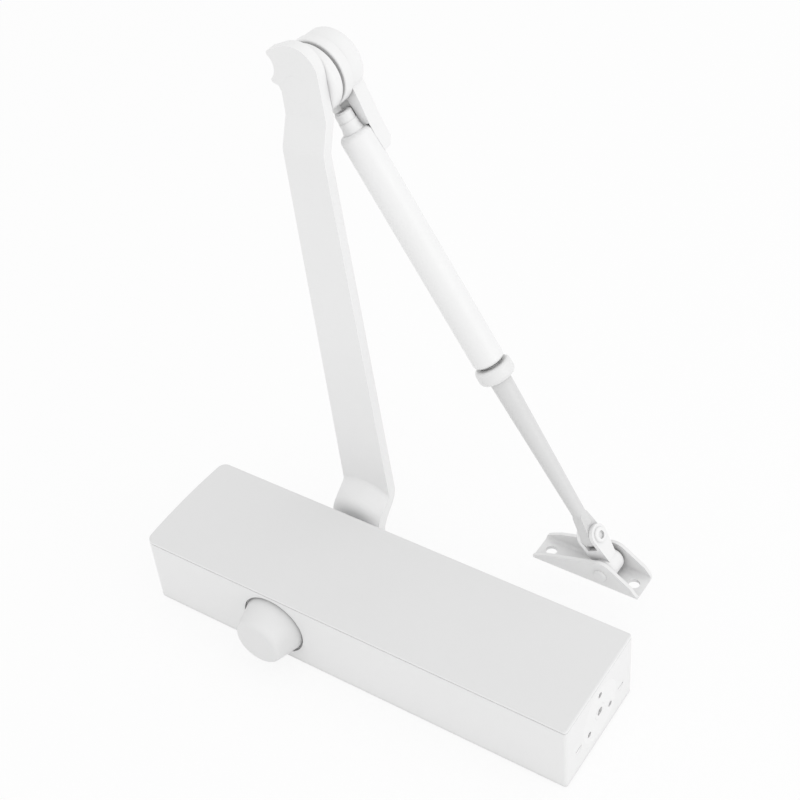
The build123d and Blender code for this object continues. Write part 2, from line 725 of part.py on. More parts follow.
def make_main_arm():
    """The arm: a foot dished round the pinion, a flat blade and a crank below the elbow."""
    dish_end = DISH_R + DISH_RUN
    blade = dish_end + BLADE_SPARE
    section = bent_plate([(FOOT_Y, 0), (FOOT_Y, DISH_R), (ARM_Y, dish_end), (ARM_Y, blade + BLADE_SPARE)])
    dish = revolve(section, Axis.X)
    crank = ARM_LENGTH - CRANK_START
    rise = bent_plate([
        (ARM_Y, blade),
        (ARM_Y, crank),
        (ELBOW_Y, crank + CRANK_RUN),
        (ELBOW_Y, ARM_LENGTH + PLATE_SPARE),
    ])
    plate = extrude(Plane.YZ * rise, ARM_LENGTH, both=True)
    outline = across(arm_outline(), 0, ELBOW_Y + PLATE_SPARE)
    arm = outline & (Rot(0, 0, 90) * dish + plate)
    arm -= across(Rectangle(SQUARE + 0.1, SQUARE + 0.1), 0, ELBOW_Y)
    arm -= Pos(0, 0, ARM_LENGTH) * bar_y(ELBOW_PIN_R + ELBOW_PIN_HEAD + SEAT_GAP, 0, ELBOW_Y + ARM_THICKNESS + 1)
    return Pos(PINION_X, 0, BORE_Z) * Rot(0, -ARM_LEAN, 0) * arm


def make_arm_washer():
    """The washer under the arm screw's head."""
    start = FOOT_Y + ARM_THICKNESS
    washer = bar_x(WASHER_R, start, start + WASHER_THICKNESS)
    return about_y(washer - bar_x(ARM_SCREW_R + 0.2, start - 1, start + WASHER_THICKNESS + 1))


def make_arm_screw():
    """The hexagon screw that holds the arm on the pinion's square."""
    under_head = FOOT_Y + ARM_THICKNESS + WASHER_THICKNESS
    screw = about_y(bar_x(ARM_SCREW_R, FOOT_Y + ARM_THICKNESS - ARM_SCREW_DEPTH, under_head))
    head = Pos(PINION_X, BORE_Z) * RegularPolygon(SQUARE / 2, 6, major_radius=False)
    return screw + across(head, under_head, under_head + ARM_SCREW_HEAD)


# Elbow


def make_elbow_pin():
    """The pin riveted flush into the main arm, with its running end in the forearm head."""
    wide = ELBOW_Y + ARM_THICKNESS
    pin = bar_y(ELBOW_PIN_R + ELBOW_PIN_HEAD, ELBOW_Y, wide, ELBOW_X, ELBOW_Z)
    return pin + bar_y(ELBOW_PIN_R, wide, HEAD_FAR - PIN_BLIND - 0.5, ELBOW_X, ELBOW_Z)


def make_elbow_ring(radius, start, thickness, near_rounding):
    """A ring on the elbow pin, rounded at its two outer rims."""
    inner = ELBOW_PIN_R + TURN_GAP
    end = start + thickness
    ring = turned(
        [(start, inner), (start, radius), (end, radius), (end, inner)],
        [(1, near_rounding), (2, RIM_EDGE)],
    )
    return Pos(ELBOW_X, 0, ELBOW_Z) * Rot(0, 0, 90) * ring


# Forearm, in its own frame: x along the tube, y across the body from the tube's axis


def head_tail(far):
    """The tail behind the tube: narrowing in plan and cut to a slope at its end."""
    tail_end = TUBE_START + TAIL_PAST_NECK
    half_plan = [
        (0, TAIL_ROOT_HALF),
        (HEAD_R, TAIL_ROOT_HALF - 0.5),
        (TUBE_START, TAIL_END_HALF + 0.7),
        (tail_end, TAIL_END_HALF),
    ]
    plan = make_face(Polyline(*half_plan, *[(x, -z) for x, z in reversed(half_plan)], close=True))
    side = make_face(Polyline(
        (0, TAIL_RISE),
        (0, far),
        (tail_end - TAIL_CHAMFER, far),
        (tail_end, far - TAIL_CHAMFER),
        (tail_end, TAIL_RISE),
        close=True,
    ))
    tail = across(plan, TAIL_RISE, far) & extrude(side, TAIL_ROOT_HALF + 1, both=True)
    return chamfer(tail.faces().sort_by(Axis.Y)[-1].edges().filter_by(Axis.Z, reverse=True), TAIL_EDGE)


def make_forearm_head():
    """The head on the elbow pin: a round boss with a flange, a tail and a neck for the tube."""
    near = -FOREARM_DEPTH
    far = near + HEAD_LENGTH
    boss = turned([(near, 0), (near, HEAD_R), (far, HEAD_R), (far, 0)], [(2, HEAD_ROUNDING)])
    step = near + FLANGE_THICKNESS
    flange = turned([(near, 0), (near, FLANGE_R), (step, FLANGE_R), (step, 0)], [(1, FLANGE_ROUNDING)])
    head = Rot(0, 0, 90) * (boss + flange) + head_tail(far)
    head -= bar_y(FLANGE_R + 1, step, step + FLANGE_GROOVE) - bar_y(HEAD_R - FLANGE_GROOVE_DEPTH, near, far)
    head += turned([
        (NECK_START, 0),
        (NECK_START, NECK_R),
        (TUBE_START - NECK_FLARE, NECK_R),
        (TUBE_START, NECK_END_R),
        (TUBE_START, 0),
    ])
    head -= bar_x(TUBE_R + SLIDE_GAP, TUBE_START, TUBE_START + TAIL_PAST_NECK + 1)
    head -= bar_x(HEAD_SCREW_HEAD_R + 0.3, FLANGE_R + 0.1, NECK_START)
    head -= bar_x(HEAD_SCREW_R + 0.2, NECK_START - 1, TUBE_START + 1)
    head -= bar_y(ELBOW_PIN_R + TURN_GAP, near - 1, far - PIN_BLIND)
    return FOREARM.location * head


def make_head_screw():
    """The screw from the head's pocket into the top of the tube."""
    screw = bar_x(HEAD_SCREW_R, NECK_START, TUBE_START + HEAD_SCREW_GRIP)
    cap = bar_x(HEAD_SCREW_HEAD_R, NECK_START - HEAD_SCREW_HEAD, NECK_START)
    cap = chamfer(cap.edges().group_by(Axis.X)[0], 0.6)
    socket = RegularPolygon(HEX_ACROSS / 2, 6, major_radius=False)
    cap -= extrude(Plane.YZ.offset(NECK_START - HEAD_SCREW_HEAD) * socket, HEAD_SCREW_SOCKET)
    return FOREARM.location * (screw + cap)


def make_forearm_tube():
    """The tube: a solid top with a screw hole, and a threaded bore for the rod."""
    tube = turned([
        (TUBE_START, 0),
        (TUBE_START, TUBE_R),
        (TUBE_END, TUBE_R),
        (TUBE_END, 0),
    ], [(1, TUBE_TOP_ROUNDING), (2, TUBE_END_ROUNDING)])
    tube -= bar_x(HEAD_SCREW_R + SEAT_GAP, TUBE_START - 1, TUBE_START + TUBE_PLUG)
    tube -= bar_x(THREAD_R + TURN_GAP, TUBE_START + TUBE_PLUG, TUBE_END + 1)
    return FOREARM.location * tube


def make_lock_nut():
    """The round collar on the rod's thread, with rounded edges."""
    nut = turned([
        (NUT_START, THREAD_R + TURN_GAP),
        (NUT_START, NUT_R),
        (NUT_END, NUT_R),
        (NUT_END, THREAD_R + TURN_GAP),
    ], [(1, NUT_TOP_ROUNDING), (2, NUT_ROUNDING)])
    return FOREARM.location * nut


def make_adjusting_rod():
    """The rod: a thread inside the tube, a long taper and a flat eye."""
    thread_start = TAPER_START - THREAD_LENGTH
    rod = turned([
        (thread_start, 0),
        (thread_start, THREAD_R),
        (TAPER_START, THREAD_R),
        (TAPER_END, ROD_TIP_R),
        (TAPER_END, 0),
    ], [(1, 1.0)])
    eye = make_hull([
        *(Pos(RIVET_S, 0) * Circle(EYE_R)).edges(),
        *(Pos(TAPER_END - 4, 0) * Circle(ROD_TIP_R)).edges(),
    ])
    rod += extrude(eye, EYE_THICKNESS / 2, both=True)
    rod -= bar_z(RIVET_R + TURN_GAP, -EYE_THICKNESS, EYE_THICKNESS, RIVET_S)
    return FOREARM.location * rod


# Swivel and shoe


def make_rod_swivel():
    """The clevis round the rod's eye, on a barrel across the shoe."""
    half = EYE_THICKNESS / 2 + FACE_GAP
    outer = half + CHEEK
    outline = make_hull([
        *(Pos(RIVET_S, 0) * Circle(SWIVEL_HALF_WIDTH)).edges(),
        *(Pos(SHOE_S - SWIVEL_TIP_BACK, 0) * Circle(SWIVEL_TIP_R)).edges(),
    ])
    clevis = extrude(outline, outer, both=True)
    slot_end = RIVET_S + EYE_R + 0.5
    barrel = bar_y(BARREL_R, -BARREL_LENGTH / 2, BARREL_LENGTH / 2, SHOE_S)
    swivel = clevis + fillet(barrel.edges().filter_by(GeomType.CIRCLE), BARREL_ROUNDING)
    swivel -= block(RIVET_S - 2 * EYE_R, slot_end, -2 * EYE_R, 2 * EYE_R, -half, half)
    swivel -= bar_y(SHOE_PIN_R + TURN_GAP, -BARREL_LENGTH, BARREL_LENGTH, SHOE_S)
    swivel -= bar_z(RIVET_R + SEAT_GAP, -2 * outer, 2 * outer, RIVET_S)
    return FOREARM.location * swivel


def make_swivel_rivet():
    """The hollow rivet through the clevis and the eye."""
    face = EYE_THICKNESS / 2 + FACE_GAP + CHEEK
    top = face + RIVET_HEAD
    half = turned([
        (0, 0),
        (0, RIVET_R),
        (face, RIVET_R),
        (face, RIVET_HEAD_R),
        (top, RIVET_HEAD_R),
        (top, RIVET_RECESS_R),
        (top - 1.0, RIVET_RECESS_R),
        (top - 1.0, 0),
    ], [(4, 0.9)])
    upright = Rot(0, -90, 0) * half
    return FOREARM.location * Pos(RIVET_S, 0, 0) * (upright + mirror(upright, Plane.XY))


def shoe_outline():
    """The shoe's side wall: low tips, a rising edge and a round top about the pin."""
    left = (-SHOE_LEFT, -SHOE_DROP + SHOE_TIP_HEIGHT)
    knee = (-SHOE_LEFT + 7.6, -SHOE_DROP + SHOE_TIP_HEIGHT + 4.0)
    right = (SHOE_RIGHT, -SHOE_DROP + SHOE_TIP_HEIGHT - 1.0)
    right_knee = (SHOE_RIGHT - 4.0, right[1] + 5.0)
    wall = make_face(Polyline(
        (-SHOE_LEFT + 0.7, -SHOE_DROP),
        left,
        knee,
        (knee[0], -SHOE_DROP),
        close=True,
    ))
    wall += make_hull([
        *(Circle(SHOE_APEX_R)).edges(),
        Line((knee[0], -SHOE_DROP), knee),
        Line((right_knee[0], -SHOE_DROP), right_knee),
    ])
    wall += make_face(Polyline(
        (right_knee[0], -SHOE_DROP),
        right_knee,
        right,
        (SHOE_RIGHT - 0.8, -SHOE_DROP),
        close=True,
    ))
    for place in (left, right, knee, right_knee):
        corner = wall.vertices().sort_by_distance((*place, 0))[0]
        wall = fillet(corner, SHOE_TIP_ROUNDING)
    return wall


def make_shoe_bracket():
    """The U-shaped shoe, with two screw holes in its base and pin holes in its walls."""
    inner = BARREL_LENGTH / 2 + SHOE_SIDE_PLAY
    outer = inner + SHOE_WALL
    top = SHOE_APEX_R + 5
    rim = -SHOE_DROP
    floor = rim + SHOE_WALL
    channel = Pos(0, (rim + top) / 2) * Rectangle(2 * outer, top - rim)
    channel = fillet(channel.vertices().group_by(Axis.Y)[0], SHOE_BEND_R)
    hollow = Pos(0, (floor + top) / 2) * Rectangle(2 * inner, top - floor)
    hollow = fillet(hollow.vertices().group_by(Axis.Y)[0], SHOE_BEND_R - SHOE_WALL)
    section = channel - hollow
    shoe = extrude(Plane.YZ * section, SHOE_LEFT + SHOE_RIGHT, both=True)
    shoe &= across(shoe_outline(), -outer - 1, outer + 1)
    middle = (SHOE_RIGHT - SHOE_LEFT) / 2
    plan = Pos(middle, 0) * RectangleRounded(SHOE_LEFT + SHOE_RIGHT, 2 * outer, SHOE_CORNER_R)
    shoe &= extrude(plan, top, both=True)
    for offset in (-SHOE_HOLE_SPACING / 2, SHOE_HOLE_SPACING / 2):
        shoe -= bar_z(SHOE_HOLE_R, rim - 1, floor + 1, middle + SHOE_HOLE_SHIFT + offset)
    shoe -= bar_y(SHOE_PIN_R + SEAT_GAP, -outer - 1, outer + 1)
    return Pos(SHOE_X, FOREARM_Y, SHOE_Z) * shoe


def make_shoe_pin():
    """The pin across the shoe, with a round head on the near wall and a riveted far end."""
    face = BARREL_LENGTH / 2 + SHOE_SIDE_PLAY + SHOE_WALL
    pin = turned([
        (-face - SHOE_PIN_HEAD, 0),
        (-face - SHOE_PIN_HEAD, SHOE_PIN_HEAD_R),
        (-face, SHOE_PIN_HEAD_R),
        (-face, SHOE_PIN_R),
        (face, SHOE_PIN_R),
        (face, SHOE_PIN_R + 0.9),
        (face + 1.2, SHOE_PIN_R + 0.9),
        (face + 1.2, 0),
    ], [(1, 1.0), (6, 0.8)])
    return Pos(SHOE_X, FOREARM_Y, SHOE_Z) * Rot(0, 0, 90) * pin


def save(name, *solids):
    """Write one node, which holds one solid or a group of separate ones."""
    export_step(Compound(list(solids)) if len(solids) > 1 else solids[0], f"parts/{name}.step")


os.makedirs("parts", exist_ok=True)
save("housing", make_housing())
save("front_cover", make_front_cover())
save("closed_end_plug", make_closed_end_plug())
save("valve_end_plug", make_valve_end_plug())
save("plug_o_rings", *make_plug_o_rings())
save("spring_adjuster", make_spring_adjuster())
save("adjuster_o_ring", make_adjuster_o_ring())
save("spring_seat", make_spring_seat())
save("closing_spring", make_closing_spring())
save("piston", make_piston())
save("check_valve_ball", make_check_valve_ball())
save("check_valve_cage", make_check_valve_cage())
for valve_name, valve_side in (("closing_valve", -1), ("latching_valve", 1)):
    save(valve_name, make_valve(valve_side))
    save(f"{valve_name}_o_ring", make_valve_o_ring(valve_side))
save("pinion", make_pinion())
for side_name, pinion_side, boss in (("arm_side", 1, RETAINER_PROUD), ("cap_side", -1, CAP_BOSS_PROUD)):
    save(f"{side_name}_bearing", make_bearing(pinion_side))
    save(f"{side_name}_seal", make_seal(pinion_side))
    save(f"{side_name}_retainer", make_retainer(pinion_side, boss))
save("pinion_cap", make_pinion_cap())
save("main_arm", make_main_arm())
save("arm_washer", make_arm_washer())
save("arm_screw", make_arm_screw())
save("elbow_pin", make_elbow_pin())
save("elbow_disc", make_elbow_ring(DISC_R, DISC_Y, DISC_THICKNESS, DISC_ROUNDING))
save("elbow_spacer", make_elbow_ring(SPACER_R, SPACER_Y, SPACER_THICKNESS, RIM_EDGE))
save("forearm_head", make_forearm_head())
save("head_screw", make_head_screw())
save("forearm_tube", make_forearm_tube())
save("lock_nut", make_lock_nut())
save("adjusting_rod", make_adjusting_rod())
save("rod_swivel", make_rod_swivel())
save("swivel_rivet", make_swivel_rivet())
save("shoe_bracket", make_shoe_bracket())
save("shoe_pin", make_shoe_pin())
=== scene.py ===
"""Finishes, softened edges and threads of a hydraulic door closer with a scissor arm, laid out as an add-on."""

import json
import math

import bmesh
import bpy
from bpy.props import FloatProperty, FloatVectorProperty, IntProperty, PointerProperty
from mathutils import Matrix, Vector


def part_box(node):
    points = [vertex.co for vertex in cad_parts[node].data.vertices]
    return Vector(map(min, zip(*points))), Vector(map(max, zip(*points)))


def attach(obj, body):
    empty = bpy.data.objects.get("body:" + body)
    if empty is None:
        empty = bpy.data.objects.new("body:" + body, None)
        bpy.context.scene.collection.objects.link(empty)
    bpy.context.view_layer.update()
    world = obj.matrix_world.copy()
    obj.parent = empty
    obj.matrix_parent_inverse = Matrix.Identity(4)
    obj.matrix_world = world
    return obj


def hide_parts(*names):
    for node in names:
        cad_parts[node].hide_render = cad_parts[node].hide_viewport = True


bl_info = {
    "name": "Hydraulic door closer",
    "version": (1, 0, 0),
    "blender": (4, 5, 0),
    "location": "View3D > Sidebar > Door closer",
    "description": "Builds the finishes, the softened edges, the threads and the stage of a hydraulic door closer",
    "category": "Object",
}

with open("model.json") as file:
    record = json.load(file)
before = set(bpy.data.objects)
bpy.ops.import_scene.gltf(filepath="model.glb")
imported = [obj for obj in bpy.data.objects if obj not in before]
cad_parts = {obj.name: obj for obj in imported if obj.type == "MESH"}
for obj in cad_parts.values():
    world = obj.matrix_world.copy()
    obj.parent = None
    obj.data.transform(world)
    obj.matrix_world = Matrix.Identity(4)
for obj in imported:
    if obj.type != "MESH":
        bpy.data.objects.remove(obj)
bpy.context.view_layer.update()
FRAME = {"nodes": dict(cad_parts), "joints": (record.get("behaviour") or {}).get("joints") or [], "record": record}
JOINTS = {joint["name"]: joint for joint in FRAME["joints"]}
MM = 0.001

# How near two points lie that count as one, on the carried-over meshes and on the spun thread.
WELD = 0.002 * MM
THREAD_WELD = 0.01 * MM
# In degrees: facets that turn by less are one flat face, and edges that turn by more are rounded, or are shaded
# as edges.
FLAT_ANGLE = 0.3
BEVEL_ANGLE = 35.0
SHADE_ANGLE = 32.0
# How far above the body the underside of the front cover is looked for, and how level its edge has to be.
COVER_CLEARANCE = 0.1 * MM
LEVEL = 0.01 * MM
# How far below the cover's top the painted highlight along its rim starts.
RIM_HIGHLIGHT_DEPTH = 0.25 * MM
# How far the thread runs on into the plain shank of the rod.
THREAD_OVERLAP = 0.2 * MM

ELBOW = Vector(JOINTS["elbow_turn"]["pos_m"])
PINION = Vector(JOINTS["pinion_turn"]["pos_m"])
ALONG = Vector(JOINTS["lock_nut_turn"]["axis"])
ACROSS = Vector(JOINTS["swivel_tilt"]["axis"])
# The forearm's own frame: x across its face, y across the body, z down the tube from the elbow.
FOREARM = Matrix.Translation(ELBOW) @ Matrix((ACROSS, (0, 1, 0), ALONG)).transposed().to_4x4()


# Settings


class PaintSettings(bpy.types.PropertyGroup):
    """Colours of the white finishes and how even they are."""

    paint: FloatVectorProperty(
        name="Paint", description="Colour of the baked white paint on the steel pieces", subtype="COLOR", size=3,
        default=(0.87, 0.87, 0.87), min=0.0, max=1.0,
    )
    body_paint: FloatVectorProperty(
        name="Body paint", description="Colour of the paint on the cast body", subtype="COLOR", size=3,
        default=(0.845, 0.845, 0.845), min=0.0, max=1.0,
    )
    cover: FloatVectorProperty(
        name="Cover", description="Colour of the moulded front cover", subtype="COLOR", size=3,
        default=(0.765, 0.765, 0.765), min=0.0, max=1.0,
    )
    # How much lighter the painted highlight along the cover's rim makes it.
    rim_highlight_gain: FloatProperty(
        name="Rim gain", description="How much lighter the cover's polished rim is", default=0.16, min=0.0,
        max=1.0, subtype="FACTOR",
    )
    # Darker than the plain finish, to paint in the shade that falls on the cap.
    cap: FloatVectorProperty(
        name="Cap", description="Colour of the moulded cap over the pinion", subtype="COLOR", size=3,
        default=(0.79, 0.79, 0.79), min=0.0, max=1.0,
    )
    # Darker than the paint, to paint in the shade that falls on the thin rod.
    rod: FloatVectorProperty(
        name="Rod", description="Colour of the thinner paint on the adjusting rod", subtype="COLOR", size=3,
        default=(0.70, 0.70, 0.70), min=0.0, max=1.0,
    )
    # Darker than the paint, to paint in the shade that falls on the nut and the shoe.
    fittings: FloatVectorProperty(
        name="Fittings", description="Colour of the paint on the nut and the shoe", subtype="COLOR",
        size=3, default=(0.81, 0.81, 0.81), min=0.0, max=1.0,
    )
    roughness: FloatProperty(
        name="Roughness", description="How matt the paint is", default=0.40, min=0.0, max=1.0, subtype="FACTOR",
    )
    ripple_size: FloatProperty(
        name="Ripple size", description="Width of the ripples in the baked paint", default=0.0016, min=0.0001,
        unit="LENGTH",
    )
    # Strength of the painted shade, broken into dusty patches, that darkens corners and gaps.
    dust_and_shade: FloatProperty(
        name="Dust", description="How far the corners and gaps are greyed", default=0.45, min=0.0, max=1.0,
        subtype="FACTOR",
    )


class EdgeSettings(bpy.types.PropertyGroup):
    """How far the edges of the metal pieces are broken."""

    plate_edge: FloatProperty(
        name="Plate edge", description="Rounding of the main arm's edges", default=0.0005, min=0.0, unit="LENGTH",
    )
    cast_edge: FloatProperty(
        name="Cast edge", description="Rounding of the forearm head's edges", default=0.0005, min=0.0,
        unit="LENGTH",
    )
    small_edge: FloatProperty(
        name="Small edge", description="Rounding of the swivel's and the shoe's edges", default=0.0003, min=0.0,
        unit="LENGTH",
    )
    cover_edge: FloatProperty(
        name="Cover edge", description="Rounding of the front cover's lower edge, along the seam", default=0.0005,
        min=0.0, unit="LENGTH",
    )
    washer_edge: FloatProperty(
        name="Washer edge", description="Rounding of the washer's edges", default=0.0002, min=0.0, unit="LENGTH",
    )
    rod_edge: FloatProperty(
        name="Rod edge", description="Rounding of the edges of the rod's eye", default=0.0003, min=0.0,
        unit="LENGTH",
    )


class ScrewSettings(bpy.types.PropertyGroup):
    """The screw that holds the arm on the pinion."""

    shank_radius: FloatProperty(
        name="Shank radius", description="Radius of the screw's shank", default=0.003, min=0.001, unit="LENGTH",
    )
    dish_width: FloatProperty(
        name="Dish width", description="Width of the rim round the dished top", default=0.0009, min=0.0,
        unit="LENGTH",
    )
    dish_depth: FloatProperty(
        name="Dish depth", description="Depth of the dished top", default=0.00025, min=0.0, unit="LENGTH",
    )


class ThreadSettings(bpy.types.PropertyGroup):
    """The screw thread on the adjusting rod."""

    pitch: FloatProperty(
        name="Pitch", description="Distance from one turn to the next", default=0.0015, min=0.0005, unit="LENGTH",
    )
    crest_radius: FloatProperty(
        name="Crest radius", description="Outer radius of the thread", default=0.005, min=0.001, unit="LENGTH",
    )
    depth: FloatProperty(
        name="Depth", description="Depth of the thread", default=0.0008, min=0.0001, unit="LENGTH",
    )
    length: FloatProperty(
        name="Length", description="Threaded length of the rod", default=0.058, min=0.01, unit="LENGTH",
    )
    steps: IntProperty(
        name="Steps", description="Faces round one turn", default=32, min=8,
    )


class StageSettings(bpy.types.PropertyGroup):
    """Where the picture is taken from, and the studio light."""

    camera_place: FloatVectorProperty(
        name="Camera place", description="Where the camera stands", subtype="TRANSLATION", unit="LENGTH", size=3,
        default=(0.3026, -0.3726, 0.5708),
    )
    camera_turn: FloatVectorProperty(
        name="Camera turn", description="Elevation, roll and azimuth of the view", subtype="EULER", size=3,
        default=(math.radians(41.49), math.radians(-5.87), math.radians(36.84)),
    )
    lens: FloatProperty(
        name="Lens", description="Focal length of the camera", default=71.18, min=1.0, unit="CAMERA",
    )
    room_light: FloatProperty(
        name="Room light", description="Strength of the even light from all round", default=0.86, min=0.0,
    )
    side_lamp: FloatProperty(
        name="Side lamp", description="Power of the large lamp beyond the valve end", default=3.3, min=0.0,
        unit="POWER",
    )
    near_lamp: FloatProperty(
        name="Near lamp", description="Power of the large lamp on the near side", default=1.7, min=0.0,
        unit="POWER",
    )
    top_lamp: FloatProperty(
        name="Top lamp", description="Power of the large lamp high up beyond the arm", default=2.5, min=0.0,
        unit="POWER",
    )


# Materials


# What each skin group gives to its material.
SKIN_OUTPUTS = [("Colour", "NodeSocketColor"), ("Roughness", "NodeSocketFloat"), ("Height", "NodeSocketFloat")]


def new_group(name, inputs, outputs):
    """An empty shader group with named sockets, and its nodes, links, first and last node."""
    group = bpy.data.node_groups.new(name, "ShaderNodeTree")
    for label, kind, value in inputs:
        socket = group.interface.new_socket(name=label, in_out="INPUT", socket_type=kind)
        socket.default_value = value
    for label, kind in outputs:
        group.interface.new_socket(name=label, in_out="OUTPUT", socket_type=kind)
    start = group.nodes.new("NodeGroupInput")
    end = group.nodes.new("NodeGroupOutput")
    return group, group.nodes, group.links, start, end


def object_place(nodes):
    """The place on the piece, in the piece's own coordinates."""
    return nodes.new("ShaderNodeTexCoord").outputs["Object"]


def math_node(nodes, links, operation, first, second=None, clamp=False):
    """A Math node fed by sockets or plain numbers; returns its output."""
    node = nodes.new("ShaderNodeMath")
    node.operation = operation
    node.use_clamp = clamp
    for number, value in enumerate((first, second)):
        if isinstance(value, (int, float)):
            node.inputs[number].default_value = value
        elif value is not None:
            links.new(value, node.inputs[number])
    return node.outputs[0]


def noise_node(nodes, links, place, scale, detail=2.0):
    """A Noise texture on a place socket, with a size given as a number or a socket; returns its value."""
    node = nodes.new("ShaderNodeTexNoise")
    links.new(place, node.inputs["Vector"])
    node.inputs["Detail"].default_value = detail
    if isinstance(scale, (int, float)):
        node.inputs["Scale"].default_value = scale
    else:
        links.new(scale, node.inputs["Scale"])
    return node.outputs["Fac"]


def spread_about(nodes, links, value, amount):
    """A 0 to 1 value turned into a number a little above or below 1."""
    centred = math_node(nodes, links, "SUBTRACT", value, 0.5)
    scaled = math_node(nodes, links, "MULTIPLY", centred, amount)
    return math_node(nodes, links, "ADD", scaled, 1.0)


def tinted(nodes, links, colour, factor):
    """A colour socket made lighter or darker by a factor socket."""
    node = nodes.new("ShaderNodeVectorMath")
    node.operation = "SCALE"
    links.new(colour, node.inputs[0])
    links.new(factor, node.inputs["Scale"])
    return node.outputs[0]


def paint_skin_group():
    """Baked paint: slow drift of tone, fine ripples, a few nibs of dust, and a roughness that drifts too."""
    group, nodes, links, start, end = new_group(
        "paint_skin",
        [
            ("Colour", "NodeSocketColor", (0.8, 0.8, 0.8, 1)),
            ("Roughness", "NodeSocketFloat", 0.4),
            ("Tone spread", "NodeSocketFloat", 0.03),
            ("Patch size", "NodeSocketFloat", 0.03),
            ("Ripple size", "NodeSocketFloat", 0.0016),
            ("Nibs", "NodeSocketFloat", 0.3),
        ],
        SKIN_OUTPUTS,
    )
    place = object_place(nodes)
    patch = math_node(nodes, links, "DIVIDE", 1.0, start.outputs["Patch size"])
    drift = noise_node(nodes, links, place, patch, detail=3.0)
    tone = spread_about(nodes, links, drift, start.outputs["Tone spread"])
    links.new(tinted(nodes, links, start.outputs["Colour"], tone), end.inputs["Colour"])

    fine = math_node(nodes, links, "DIVIDE", 1.0, start.outputs["Ripple size"])
    ripple = noise_node(nodes, links, place, fine, detail=1.0)
    nibs_per_metre, nib_radius, nib_rise = 160.0, 0.07, 14.0
    spots = nodes.new("ShaderNodeTexVoronoi")
    spots.inputs["Scale"].default_value = nibs_per_metre
    links.new(place, spots.inputs["Vector"])
    near = math_node(nodes, links, "SUBTRACT", nib_radius, spots.outputs["Distance"])
    nib = math_node(nodes, links, "MULTIPLY", near, nib_rise, clamp=True)
    nib = math_node(nodes, links, "MULTIPLY", nib, start.outputs["Nibs"])
    links.new(math_node(nodes, links, "ADD", ripple, nib), end.inputs["Height"])

    sheen = noise_node(nodes, links, place, scale=90.0, detail=4.0)
    factor = spread_about(nodes, links, sheen, amount=0.35)
    rough = math_node(nodes, links, "MULTIPLY", start.outputs["Roughness"], factor, clamp=True)
    links.new(rough, end.inputs["Roughness"])
    return group


def gap_dust_and_shade_group():
    """Painted shade: darkens a colour where the surface is shut in, in gaps and corners, broken into patches as
    dust would lie.
    """
    group, nodes, links, start, end = new_group(
        "gap_dust_and_shade",
        [
            ("Colour", "NodeSocketColor", (0.8, 0.8, 0.8, 1)),
            ("Amount", "NodeSocketFloat", 0.3),
            ("Reach", "NodeSocketFloat", 0.004),
        ],
        [("Colour", "NodeSocketColor")],
    )
    falloff = 1.4
    # Ambient occlusion paints shade into the colour wherever the surface is shut in.
    shut_in = nodes.new("ShaderNodeAmbientOcclusion")
    shut_in.samples = 8
    links.new(start.outputs["Reach"], shut_in.inputs["Distance"])
    place = object_place(nodes)
    patches = noise_node(nodes, links, place, scale=240.0, detail=3.0)
    hidden = math_node(nodes, links, "SUBTRACT", 1.0, shut_in.outputs["AO"])
    hidden = math_node(nodes, links, "POWER", hidden, falloff)
    broken = spread_about(nodes, links, patches, amount=0.5)
    mask = math_node(nodes, links, "MULTIPLY", hidden, broken, clamp=True)
    loss = math_node(nodes, links, "MULTIPLY", mask, start.outputs["Amount"])
    factor = math_node(nodes, links, "SUBTRACT", 1.0, loss)
    links.new(tinted(nodes, links, start.outputs["Colour"], factor), end.inputs["Colour"])
    return group


def moulded_skin_group():
    """Moulded plastic: a fine spark-eroded grain and a faint cloudiness."""
    group, nodes, links, start, end = new_group(
        "moulded_skin",
        [
            ("Colour", "NodeSocketColor", (0.8, 0.8, 0.8, 1)),
            ("Roughness", "NodeSocketFloat", 0.45),
            ("Grain size", "NodeSocketFloat", 0.0004),
        ],
        SKIN_OUTPUTS,
    )
    place = object_place(nodes)
    cloud = noise_node(nodes, links, place, scale=22.0, detail=4.0)
    tone = spread_about(nodes, links, cloud, amount=0.025)
    links.new(tinted(nodes, links, start.outputs["Colour"], tone), end.inputs["Colour"])
    fine = math_node(nodes, links, "DIVIDE", 1.0, start.outputs["Grain size"])
    grain = noise_node(nodes, links, place, fine, detail=2.0)
    wide = noise_node(nodes, links, place, scale=500.0, detail=1.0)
    links.new(math_node(nodes, links, "ADD", grain, wide), end.inputs["Height"])
    sheen = noise_node(nodes, links, place, scale=60.0, detail=3.0)
    factor = spread_about(nodes, links, sheen, amount=0.3)
    rough = math_node(nodes, links, "MULTIPLY", start.outputs["Roughness"], factor, clamp=True)
    links.new(rough, end.inputs["Roughness"])
    return group


def painted_rim_highlight_group():
    """Painted highlight: lightens a colour below a height, along a moulding's rim, where a highlight would fall on
    its edge.
    """
    group, nodes, links, start, end = new_group(
        "painted_rim_highlight",
        [
            ("Colour", "NodeSocketColor", (0.8, 0.8, 0.8, 1)),
            ("Height", "NodeSocketFloat", 0.038),
            ("Blend", "NodeSocketFloat", 0.0004),
            ("Gain", "NodeSocketFloat", 0.1),
        ],
        [("Colour", "NodeSocketColor")],
    )
    place = object_place(nodes)
    parts = nodes.new("ShaderNodeSeparateXYZ")
    links.new(place, parts.inputs[0])
    below = math_node(nodes, links, "SUBTRACT", start.outputs["Height"], parts.outputs["Z"])
    share = math_node(nodes, links, "DIVIDE", below, start.outputs["Blend"], clamp=True)
    gain = math_node(nodes, links, "MULTIPLY", share, start.outputs["Gain"])
    factor = math_node(nodes, links, "ADD", gain, 1.0)
    links.new(tinted(nodes, links, start.outputs["Colour"], factor), end.inputs["Colour"])
    return group


